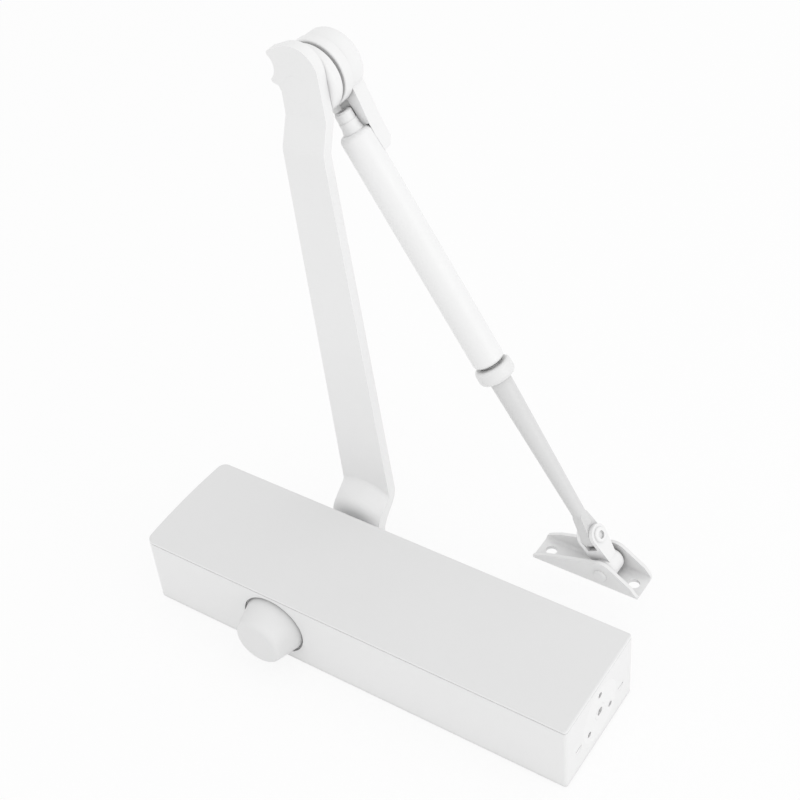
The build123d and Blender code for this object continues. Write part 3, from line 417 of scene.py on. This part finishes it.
def worked_metal_group():
    """Bare metal: fine lines left by the tool, stretched along one direction, and faint stains."""
    group, nodes, links, start, end = new_group(
        "worked_metal",
        [
            ("Colour", "NodeSocketColor", (0.6, 0.6, 0.6, 1)),
            ("Roughness", "NodeSocketFloat", 0.3),
            ("Lines", "NodeSocketVector", (1.0, 1.0, 1.0)),
            ("Stains", "NodeSocketFloat", 0.2),
        ],
        SKIN_OUTPUTS,
    )
    place = object_place(nodes)
    stretched = nodes.new("ShaderNodeVectorMath")
    stretched.operation = "MULTIPLY"
    links.new(place, stretched.inputs[0])
    links.new(start.outputs["Lines"], stretched.inputs[1])
    lines = noise_node(nodes, links, stretched.outputs[0], scale=3000.0, detail=2.0)
    links.new(lines, end.inputs["Height"])
    stain = noise_node(nodes, links, place, scale=180.0, detail=5.0)
    tone = spread_about(nodes, links, stain, start.outputs["Stains"])
    links.new(tinted(nodes, links, start.outputs["Colour"], tone), end.inputs["Colour"])
    factor = spread_about(nodes, links, lines, amount=0.5)
    rough = math_node(nodes, links, "MULTIPLY", start.outputs["Roughness"], factor)
    smudge = spread_about(nodes, links, stain, amount=0.5)
    rough = math_node(nodes, links, "MULTIPLY", rough, smudge, clamp=True)
    links.new(rough, end.inputs["Roughness"])
    return group


def rubber_skin_group():
    """Black rubber: a dry, slightly greyed skin."""
    group, nodes, links, start, end = new_group(
        "rubber_skin",
        [("Colour", "NodeSocketColor", (0.03, 0.03, 0.03, 1)), ("Bloom", "NodeSocketFloat", 0.6)],
        SKIN_OUTPUTS,
    )
    place = object_place(nodes)
    bloom = noise_node(nodes, links, place, scale=300.0, detail=5.0)
    tone = spread_about(nodes, links, bloom, start.outputs["Bloom"])
    links.new(tinted(nodes, links, start.outputs["Colour"], tone), end.inputs["Colour"])
    links.new(bloom, end.inputs["Height"])
    least_rough, bloom_rough = 0.45, 0.5
    rough = math_node(nodes, links, "MULTIPLY", bloom, bloom_rough)
    links.new(math_node(nodes, links, "ADD", rough, least_rough, clamp=True), end.inputs["Roughness"])
    return group


def place_group(material, group, **values):
    """Put a group in a material and set its named inputs."""
    node = material.node_tree.nodes.new("ShaderNodeGroup")
    node.node_tree = group
    for label, value in values.items():
        socket = node.inputs[label.replace("_", " ")]
        socket.default_value = (*value, 1) if socket.type == "RGBA" else value
    return node


def skinned_material(
    name, skin, bump_height, metallic=0.0, dust_and_shade=None, dust_and_shade_amount=0.0, dust_and_shade_reach=4 * MM, **values,
):
    """A material whose colour, roughness and bump come from a skin group, with painted shade and dust in its
    corners.
    """
    material = bpy.data.materials.new(name)
    material.use_nodes = True
    nodes = material.node_tree.nodes
    links = material.node_tree.links
    shader = nodes["Principled BSDF"]
    shader.inputs["Metallic"].default_value = metallic
    surface = place_group(material, skin, **values)
    links.new(surface.outputs["Roughness"], shader.inputs["Roughness"])
    bump = nodes.new("ShaderNodeBump")
    bump.inputs["Strength"].default_value = 1.0
    bump.inputs["Distance"].default_value = bump_height
    links.new(surface.outputs["Height"], bump.inputs["Height"])
    links.new(bump.outputs["Normal"], shader.inputs["Normal"])
    if dust_and_shade is None:
        links.new(surface.outputs["Colour"], shader.inputs["Base Color"])
        return material
    # Painted shade, with dusty patches, in the gaps and corners.
    corners = place_group(material, dust_and_shade, Amount=dust_and_shade_amount, Reach=dust_and_shade_reach)
    links.new(surface.outputs["Colour"], corners.inputs["Colour"])
    links.new(corners.outputs["Colour"], shader.inputs["Base Color"])
    return material


def paint_rim_highlight(material, gain):
    """Put the painted rim highlight between a material's colour and its shader, at the height of the cover's top
    edge.
    """
    nodes = material.node_tree.nodes
    links = material.node_tree.links
    colour = nodes["Principled BSDF"].inputs["Base Color"]
    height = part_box("front_cover")[1].z - RIM_HIGHLIGHT_DEPTH
    rim = place_group(material, painted_rim_highlight_group(), Height=height, Gain=gain)
    links.new(colour.links[0].from_socket, rim.inputs["Colour"])
    links.new(rim.outputs["Colour"], colour)


def build_materials(settings):
    """One material for each of the record's slots."""
    paint = paint_skin_group()
    dust_and_shade = gap_dust_and_shade_group()
    moulded = moulded_skin_group()
    metal = worked_metal_group()
    rubber = rubber_skin_group()
    # The rod and the fittings take darker copies of the paint, as painted shade.
    paints = {
        "white_paint": settings.paint,
        "white_rod_shaded": settings.rod,
        "white_fittings_shaded": settings.fittings,
    }
    made = {
        name: skinned_material(
            name, paint, bump_height=0.012 * MM, dust_and_shade=dust_and_shade, dust_and_shade_amount=settings.dust_and_shade, dust_and_shade_reach=4 * MM,
            Colour=colour, Roughness=settings.roughness, Tone_spread=0.035, Patch_size=30 * MM,
            Ripple_size=settings.ripple_size, Nibs=0.5,
        )
        for name, colour in paints.items()
    }
    made |= {
        "painted_aluminium": skinned_material(
            "painted_aluminium", paint, bump_height=0.008 * MM, dust_and_shade=dust_and_shade, dust_and_shade_amount=settings.dust_and_shade,
            dust_and_shade_reach=3 * MM, Colour=settings.body_paint, Roughness=settings.roughness, Tone_spread=0.025,
            Patch_size=50 * MM, Ripple_size=settings.ripple_size * 0.7, Nibs=0.3,
        ),
        "white_plastic": skinned_material(
            "white_plastic", moulded, bump_height=0.005 * MM, dust_and_shade=dust_and_shade, dust_and_shade_amount=settings.dust_and_shade * 0.7,
            dust_and_shade_reach=3 * MM, Colour=settings.cover, Roughness=settings.roughness * 1.1, Grain_size=0.4 * MM,
        ),
        # The cap takes a darker copy of its finish, as painted shade.
        "white_cap_shaded": skinned_material(
            "white_cap_shaded", moulded, bump_height=0.005 * MM, dust_and_shade=dust_and_shade, dust_and_shade_amount=settings.dust_and_shade,
            dust_and_shade_reach=4 * MM, Colour=settings.cap, Roughness=settings.roughness * 1.1, Grain_size=0.4 * MM,
        ),
        "zinc_steel": skinned_material(
            "zinc_steel", metal, bump_height=0.004 * MM, metallic=1.0, Colour=(0.66, 0.67, 0.68), Roughness=0.33,
            Lines=(0.15, 1.0, 1.0), Stains=0.25,
        ),
        "hard_steel": skinned_material(
            "hard_steel", metal, bump_height=0.003 * MM, metallic=1.0, Colour=(0.47, 0.47, 0.48), Roughness=0.24,
            Lines=(1.0, 0.12, 1.0), Stains=0.2,
        ),
        "spring_steel": skinned_material(
            "spring_steel", metal, bump_height=0.006 * MM, metallic=1.0, Colour=(0.17, 0.17, 0.18), Roughness=0.36,
            Lines=(1.0, 1.0, 1.0), Stains=0.5,
        ),
        "bronze": skinned_material(
            "bronze", metal, bump_height=0.006 * MM, metallic=1.0, Colour=(0.60, 0.39, 0.19), Roughness=0.38,
            Lines=(0.6, 0.6, 0.6), Stains=0.35,
        ),
        "seal_rubber": skinned_material(
            "seal_rubber", rubber, bump_height=0.01 * MM, Colour=(0.03, 0.03, 0.03), Bloom=0.6,
        ),
    }
    # A painted highlight along the front cover's rim.
    paint_rim_highlight(made["white_plastic"], settings.rim_highlight_gain)
    return made


# Nodes whose finish is a copy of the one that their slot names, made darker to paint in the shade that falls on
# these pieces.
SHADED_FINISHES = {
    "pinion_cap": "white_cap_shaded",
    "adjusting_rod": "white_rod_shaded",
    "lock_nut": "white_fittings_shaded",
    "shoe_bracket": "white_fittings_shaded",
    "shoe_pin": "white_fittings_shaded",
}


class CLOSER_OT_finishes(bpy.types.Operator):
    """Make the finishes and give each carried-over piece its own"""

    bl_idname = "closer.finishes"
    bl_label = "Finishes"

    def execute(self, context):
        for plain in list(bpy.data.materials):
            bpy.data.materials.remove(plain)
        made = build_materials(context.scene.closer_paint)
        for entry in FRAME["record"]["subparts"]:
            node = FRAME["nodes"][entry["node"]]
            node.data.materials.clear()
            finish = SHADED_FINISHES.get(entry["node"], entry["material_slot"])
            node.data.materials.append(made[finish])
        return {"FINISHED"}


# Pieces


def body_of(node):
    """The body that a node rides on."""
    for body, members in FRAME["record"]["behaviour"]["bodies"].items():
        if node in members:
            return body
    raise RuntimeError(f"no body carries {node}")


def merged_copy(node):
    """A bmesh of a node with its loose triangles joined and its flat areas made whole."""
    bm = bmesh.new()
    bm.from_mesh(FRAME["nodes"][node].data)
    bmesh.ops.remove_doubles(bm, verts=bm.verts, dist=WELD)
    bmesh.ops.dissolve_degenerate(bm, dist=WELD, edges=bm.edges)
    bmesh.ops.dissolve_limit(
        bm, angle_limit=math.radians(FLAT_ANGLE), use_dissolve_boundaries=False, verts=bm.verts, edges=bm.edges,
    )
    return bm


def soften(bm, width, segments=2, chosen=None):
    """Round the sharp edges of a bmesh, or the chosen ones among them."""
    limit = math.radians(BEVEL_ANGLE)
    sharp = [
        edge for edge in bm.edges
        if len(edge.link_faces) == 2 and edge.calc_face_angle(0.0) > limit and (chosen is None or chosen(edge))
    ]
    bmesh.ops.bevel(
        bm, geom=sharp, offset=width, offset_type="OFFSET", segments=segments, profile=0.5, affect="EDGES",
        clamp_overlap=True, material=-1,
    )


def finished_piece(name, bm, nodes):
    """Turn a bmesh into a piece that stands for nodes of one body and takes the first one's finish."""
    bmesh.ops.recalc_face_normals(bm, faces=bm.faces)
    mesh = bpy.data.meshes.new(name)
    bm.to_mesh(mesh)
    bm.free()
    carried = mesh.attributes.get("custom_normal")
    if carried:
        mesh.attributes.remove(carried)
    for face in mesh.polygons:
        face.use_smooth = True
    mesh.set_sharp_from_angle(angle=math.radians(SHADE_ANGLE))
    piece = bpy.data.objects.new(name, mesh)
    bpy.context.scene.collection.objects.link(piece)
    even = piece.modifiers.new("even_shading", "WEIGHTED_NORMAL")
    even.keep_sharp = True
    mesh.materials.append(FRAME["nodes"][nodes[0]].data.materials[0])
    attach(piece, body_of(nodes[0]))
    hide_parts(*nodes)
    return piece


class CLOSER_OT_front_cover(bpy.types.Operator):
    """Round the lower edge of the front cover, along the seam"""

    bl_idname = "closer.front_cover"
    bl_label = "Front cover"

    def execute(self, context):
        bm = merged_copy("front_cover")
        body_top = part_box("housing")[1].z
        underside = min(vertex.co.z for vertex in bm.verts if vertex.co.z > body_top + COVER_CLEARANCE)

        def on_lower_edge(edge):
            level = all(abs(vertex.co.z - underside) < LEVEL for vertex in edge.verts)
            return level and edge.calc_face_angle_signed(0.0) > 0

        soften(bm, context.scene.closer_edges.cover_edge, segments=3, chosen=on_lower_edge)
        finished_piece("front_cover_edged", bm, ["front_cover"])
        return {"FINISHED"}


class CLOSER_OT_main_arm(bpy.types.Operator):
    """Round the edges of the bent main arm"""

    bl_idname = "closer.main_arm"
    bl_label = "Main arm"

    def execute(self, context):
        bm = merged_copy("main_arm")
        soften(bm, context.scene.closer_edges.plate_edge, segments=3)
        finished_piece("main_arm_rounded", bm, ["main_arm"])
        return {"FINISHED"}


class CLOSER_OT_forearm_head(bpy.types.Operator):
    """Round the edges of the cast forearm head"""

    bl_idname = "closer.forearm_head"
    bl_label = "Forearm head"

    def execute(self, context):
        bm = merged_copy("forearm_head")
        soften(bm, context.scene.closer_edges.cast_edge)
        finished_piece("forearm_head_rounded", bm, ["forearm_head"])
        return {"FINISHED"}


class CLOSER_OT_swivel_and_shoe(bpy.types.Operator):
    """Round the edges of the swivel and of the shoe"""

    bl_idname = "closer.swivel_and_shoe"
    bl_label = "Swivel and shoe"

    def execute(self, context):
        for node in ("rod_swivel", "shoe_bracket"):
            bm = merged_copy(node)
            soften(bm, context.scene.closer_edges.small_edge)
            finished_piece(f"{node}_rounded", bm, [node])
        return {"FINISHED"}


class CLOSER_OT_adjusting_rod(bpy.types.Operator):
    """Cut the real screw thread on the adjusting rod"""

    bl_idname = "closer.adjusting_rod"
    bl_label = "Adjusting rod"

    def execute(self, context):
        settings = context.scene.closer_thread
        to_forearm = FOREARM.inverted()
        bm = merged_copy("adjusting_rod")
        bmesh.ops.transform(bm, matrix=to_forearm, verts=bm.verts)
        thread_top = min(vertex.co.z for vertex in bm.verts)
        shank_start = thread_top + settings.length
        cut_flat(bm, shank_start, -1)
        soften(bm, context.scene.closer_edges.rod_edge)
        thread = screw_thread(settings, thread_top, shank_start + THREAD_OVERLAP)
        mesh = bpy.data.meshes.new("thread")
        thread.to_mesh(mesh)
        thread.free()
        bm.from_mesh(mesh)
        bpy.data.meshes.remove(mesh)
        bmesh.ops.transform(bm, matrix=FOREARM, verts=bm.verts)
        finished_piece("adjusting_rod_threaded", bm, ["adjusting_rod"])
        return {"FINISHED"}


def cut_flat(bm, height, side):
    """Cut a bmesh flat at a height, take away what lies above it (side 1) or below it (-1), and close the cut."""
    cut = bmesh.ops.bisect_plane(
        bm, geom=bm.verts[:] + bm.edges[:] + bm.faces[:], plane_co=(0, 0, height), plane_no=(0, 0, side),
        clear_outer=True,
    )
    rim = [item for item in cut["geom_cut"] if isinstance(item, bmesh.types.BMEdge)]
    bmesh.ops.edgeloop_fill(bm, edges=rim)


def screw_thread(settings, top, bottom):
    """A closed threaded bar along z, from a one-turn profile spun in a helix and cut flat at both ends."""
    crest = settings.crest_radius
    root = crest - settings.depth
    pitch = settings.pitch
    bm = bmesh.new()
    # Each point's radius, and how far along one pitch it lies.
    profile = [(root, 0.0), (crest, 0.42), (crest, 0.55), (root, 0.97), (root, 1.0)]
    points = [bm.verts.new((radius, 0, top - 2 * pitch + share * pitch)) for radius, share in profile]
    line = [bm.edges.new(pair) for pair in zip(points, points[1:])]
    turns = math.ceil((bottom - top) / pitch) + 3
    bmesh.ops.spin(
        bm, geom=points + line, cent=(0, 0, 0), axis=(0, 0, 1), dvec=(0, 0, pitch / settings.steps),
        angle=math.tau * turns, steps=settings.steps * turns, use_merge=False,
    )
    bmesh.ops.remove_doubles(bm, verts=bm.verts, dist=THREAD_WELD)
    for height, side in ((top, -1), (bottom, 1)):
        cut_flat(bm, height, side)
    bmesh.ops.recalc_face_normals(bm, faces=bm.faces)
    return bm


class CLOSER_OT_arm_screw(bpy.types.Operator):
    """Make the screw that holds the arm, with a chamfered hexagon head, and its washer"""

    bl_idname = "closer.arm_screw"
    bl_label = "Arm screw"

    def execute(self, context):
        settings = context.scene.closer_screw
        low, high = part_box("arm_screw")
        across_flats = (high.x - low.x) * math.cos(math.radians(30))
        length = high.y - low.y
        head_height = high.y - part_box("arm_washer")[1].y
        bm = bmesh.new()
        hexagon_head(bm, across_flats, head_height, settings)
        bmesh.ops.create_cone(
            bm, cap_ends=True, segments=32, radius1=settings.shank_radius, radius2=settings.shank_radius,
            depth=length - head_height, matrix=Matrix.Translation((0, 0, -(length + head_height) / 2)),
        )
        turn = Matrix.Translation((PINION.x, high.y, PINION.z)) @ Matrix.Rotation(-math.pi / 2, 4, "X")
        bmesh.ops.transform(bm, matrix=turn, verts=bm.verts)
        finished_piece("arm_screw_turned", bm, ["arm_screw"])
        washer = merged_copy("arm_washer")
        soften(washer, context.scene.closer_edges.washer_edge)
        finished_piece("arm_washer_rounded", washer, ["arm_washer"])
        return {"FINISHED"}


def hexagon_head(bm, across_flats, height, settings):
    """A hexagon head below z = 0 whose corners are turned away in a cone, with a shallow dish on top."""
    half = across_flats / 2
    cone_start, face_edge, face_step = half * 0.97, half * 0.95, 0.15 * MM
    ring = bmesh.ops.create_circle(bm, cap_ends=True, radius=half, segments=96)["verts"]
    face = ring[0].link_faces[0]
    for vertex in ring:
        angle = math.atan2(vertex.co.y, vertex.co.x)
        from_flat = (angle + math.pi / 6) % (math.pi / 3) - math.pi / 6
        vertex.co *= 1 / math.cos(from_flat)
    top = bmesh.ops.extrude_face_region(bm, geom=[face])
    top_verts = [item for item in top["geom"] if isinstance(item, bmesh.types.BMVert)]
    top_face = next(item for item in top["geom"] if isinstance(item, bmesh.types.BMFace))
    for vertex in ring:
        vertex.co.z = -height
    for vertex in top_verts:
        beyond = vertex.co.xy.length - cone_start
        vertex.co.z = -max(0.0, beyond) * math.tan(math.radians(30))
    bmesh.ops.inset_region(bm, faces=[top_face], thickness=face_step, depth=0.0)
    for vertex in top_face.verts:
        vertex.co.xy = vertex.co.xy.normalized() * face_edge
        vertex.co.z = 0.0
    bmesh.ops.inset_region(bm, faces=[top_face], thickness=settings.dish_width, depth=-settings.dish_depth)


# Stage


# The floor: half its width, how far it lies below the body, its own tone, and how far the camera sees it as white.
FLOOR_HALF = 6.0
FLOOR_DROP = 0.5 * MM
FLOOR_TONE = 0.92
FLOOR_WHITE = 0.85
# The point that the lamps face.
LAMP_AIM = Vector((0, 0.03, 0.1))
SENSOR_WIDTH = 36.0
# The rays that see the background, and most of the floor, as white.
SEEING_RAYS = ("Is Camera Ray", "Is Glossy Ray", "Is Transmission Ray")


class CLOSER_OT_stage(bpy.types.Operator):
    """Build the floor, the even background, the lamps and the camera"""

    bl_idname = "closer.stage"
    bl_label = "Stage"

    def execute(self, context):
        settings = context.scene.closer_stage
        floor_mesh = bpy.data.meshes.new("floor")
        bm = bmesh.new()
        bmesh.ops.create_grid(bm, x_segments=1, y_segments=1, size=FLOOR_HALF)
        bmesh.ops.translate(bm, verts=bm.verts, vec=(0, 0, -FLOOR_DROP))
        bm.to_mesh(floor_mesh)
        bm.free()
        floor = bpy.data.objects.new("floor", floor_mesh)
        context.scene.collection.objects.link(floor)
        floor.data.materials.append(floor_material())
        background_light(context.scene, settings.room_light)
        area_lamp("side_lamp", place=(1.4, 0.1, 0.6), size=1.0, power=settings.side_lamp)
        area_lamp("near_lamp", place=(-0.2, -1.5, 0.7), size=1.0, power=settings.near_lamp)
        area_lamp("top_lamp", place=(0.5, 0.7, 1.6), size=1.4, power=settings.top_lamp)
        add_camera(context.scene, settings)
        return {"FINISHED"}


def seeing_rays(nodes, links):
    """1 for the rays that see the surroundings as white, 0 for the rest."""
    path = nodes.new("ShaderNodeLightPath")
    mask = path.outputs[SEEING_RAYS[0]]
    for name in SEEING_RAYS[1:]:
        mask = math_node(nodes, links, "MAXIMUM", mask, path.outputs[name])
    return mask


def floor_material():
    """A pale floor that reads as white to the camera and still takes a soft shadow."""
    material = bpy.data.materials.new("pale_floor")
    material.use_nodes = True
    nodes = material.node_tree.nodes
    links = material.node_tree.links
    nodes.clear()
    output = nodes.new("ShaderNodeOutputMaterial")
    matt = nodes.new("ShaderNodeBsdfDiffuse")
    matt.inputs["Color"].default_value = (FLOOR_TONE, FLOOR_TONE, FLOOR_TONE, 1)
    white = nodes.new("ShaderNodeEmission")
    white.inputs["Strength"].default_value = 1.0
    mix = nodes.new("ShaderNodeMixShader")
    seen = seeing_rays(nodes, links)
    links.new(math_node(nodes, links, "MULTIPLY", seen, FLOOR_WHITE), mix.inputs["Fac"])
    links.new(matt.outputs[0], mix.inputs[1])
    links.new(white.outputs[0], mix.inputs[2])
    links.new(mix.outputs[0], output.inputs["Surface"])
    return material


def background_light(scene, strength):
    """An even room light, which the camera and reflections see as white."""
    world = bpy.data.worlds.new("studio")
    scene.world = world
    world.use_nodes = True
    nodes = world.node_tree.nodes
    links = world.node_tree.links
    nodes.clear()
    output = nodes.new("ShaderNodeOutputWorld")
    room = nodes.new("ShaderNodeBackground")
    room.inputs["Color"].default_value = (1, 1, 1, 1)
    room.inputs["Strength"].default_value = strength
    white = nodes.new("ShaderNodeBackground")
    white.inputs["Color"].default_value = (1, 1, 1, 1)
    mix = nodes.new("ShaderNodeMixShader")
    seen = seeing_rays(nodes, links)
    links.new(seen, mix.inputs["Fac"])
    links.new(room.outputs[0], mix.inputs[1])
    links.new(white.outputs[0], mix.inputs[2])
    links.new(mix.outputs[0], output.inputs["Surface"])


def area_lamp(name, place, size, power):
    """A large square lamp that faces the middle of the object."""
    data = bpy.data.lights.new(name, "AREA")
    data.size = size
    data.energy = power
    lamp = bpy.data.objects.new(name, data)
    lamp.location = place
    lamp.rotation_euler = (LAMP_AIM - Vector(place)).to_track_quat("-Z", "Y").to_euler()
    bpy.context.scene.collection.objects.link(lamp)


def add_camera(scene, settings):
    """The camera, turned by azimuth, then elevation, then roll about its own axis."""
    elevation, roll, azimuth = settings.camera_turn
    turn = (
        Matrix.Rotation(azimuth, 4, "Z")
        @ Matrix.Rotation(math.pi / 2 - elevation, 4, "X")
        @ Matrix.Rotation(roll, 4, "Z")
    )
    data = bpy.data.cameras.new("camera")
    data.lens = settings.lens
    data.sensor_width = SENSOR_WIDTH
    data.clip_start = 0.01
    camera = bpy.data.objects.new("camera", data)
    camera.matrix_world = Matrix.Translation(settings.camera_place) @ turn
    scene.collection.objects.link(camera)
    scene.camera = camera


class CLOSER_PT_panel(bpy.types.Panel):
    """Lists the steps that build the finished door closer"""

    bl_idname = "CLOSER_PT_panel"
    bl_label = "Door closer"
    bl_space_type = "VIEW_3D"
    bl_region_type = "UI"
    bl_category = "Door closer"

    def draw(self, context):
        for operator in OPERATORS:
            self.layout.operator(operator.bl_idname)


OPERATORS = (
    CLOSER_OT_finishes,
    CLOSER_OT_front_cover,
    CLOSER_OT_main_arm,
    CLOSER_OT_forearm_head,
    CLOSER_OT_swivel_and_shoe,
    CLOSER_OT_adjusting_rod,
    CLOSER_OT_arm_screw,
    CLOSER_OT_stage,
)
CLASSES = (
    PaintSettings, EdgeSettings, ScrewSettings, ThreadSettings, StageSettings, *OPERATORS, CLOSER_PT_panel,
)


def register():
    """Add the settings, the operators and the panel."""
    for item in CLASSES:
        bpy.utils.register_class(item)
    bpy.types.Scene.closer_paint = PointerProperty(type=PaintSettings)
    bpy.types.Scene.closer_edges = PointerProperty(type=EdgeSettings)
    bpy.types.Scene.closer_screw = PointerProperty(type=ScrewSettings)
    bpy.types.Scene.closer_thread = PointerProperty(type=ThreadSettings)
    bpy.types.Scene.closer_stage = PointerProperty(type=StageSettings)


def unregister():
    """Take the settings, the operators and the panel away again."""
    del bpy.types.Scene.closer_stage
    del bpy.types.Scene.closer_thread
    del bpy.types.Scene.closer_screw
    del bpy.types.Scene.closer_edges
    del bpy.types.Scene.closer_paint
    for item in reversed(CLASSES):
        bpy.utils.unregister_class(item)


def main():
    """Build every piece and the stage."""
    register()
    bpy.context.scene.view_settings.view_transform = "Standard"
    bpy.ops.closer.finishes()
    bpy.ops.closer.front_cover()
    bpy.ops.closer.main_arm()
    bpy.ops.closer.forearm_head()
    bpy.ops.closer.swivel_and_shoe()
    bpy.ops.closer.adjusting_rod()
    bpy.ops.closer.arm_screw()
    bpy.ops.closer.stage()


if __name__ == "__main__":
    main()
